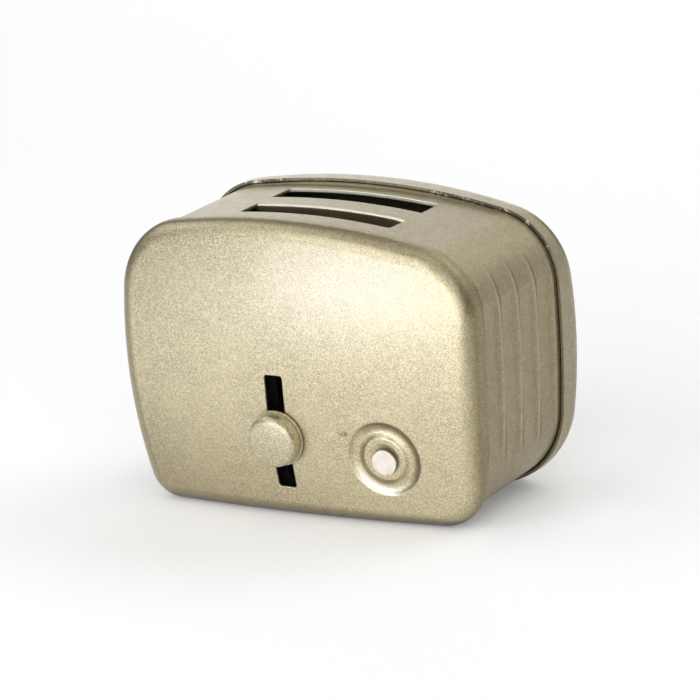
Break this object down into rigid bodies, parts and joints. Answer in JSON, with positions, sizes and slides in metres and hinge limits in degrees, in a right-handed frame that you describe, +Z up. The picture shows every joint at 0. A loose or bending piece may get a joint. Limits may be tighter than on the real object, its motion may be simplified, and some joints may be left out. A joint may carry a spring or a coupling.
{
  "type": "miniature toaster",
  "caption": "Doll's house toaster of pressed metal with bread slots, fluted sides, a sliding lever that lifts the bread rack, and a dial.",
  "frame": {"origin": "middle of the bounding box in X and Y, on the surface that the toaster stands on", "axes": "+X to the right as seen from the front, +Y from the front face to the rear, +Z up"},
  "size_m": [0.0568, 0.0353, 0.0413],
  "materials": {
    "cover_paint": "champagne metallic paint with a fine grain",
    "band_paint": "champagne metallic paint with a fine grain",
    "knob_paint": "champagne metallic paint",
    "flange_paint": "champagne metallic paint",
    "inner_tin": "thin champagne overspray on tinplate",
    "black_plastic": "matt black",
    "white_plastic": "warm white",
    "bright_steel": "bright",
    "rivet_metal": "dull"
  },
  "bodies": {
    "body": {"front_cover": "cover_paint", "rear_cover": "cover_paint", "body_band": "band_paint", "slide_guide": "black_plastic", "seam_strip": "inner_tin", "seam_rivets": "rivet_metal", "bread_divider": "inner_tin", "divider_rivets": "rivet_metal", "dial_pin": "white_plastic", "dial_nut": "bright_steel"},
    "lever": {"lever_knob": "knob_paint", "knob_flange": "flange_paint", "lever_stem": "bright_steel", "slide_block": "black_plastic", "friction_spring": "bright_steel", "stem_nut": "bright_steel", "rack_arm": "inner_tin", "front_bread_tray": "inner_tin", "rear_bread_tray": "inner_tin", "tray_rivets": "rivet_metal"}
  },
  "joints": [
    {"name": "lever_slide", "type": "slide", "parent": "body", "child": "lever", "axis": [0, -0.1073, 0.9942], "range_m": [-0.0062, 0.0074]}
  ]
}
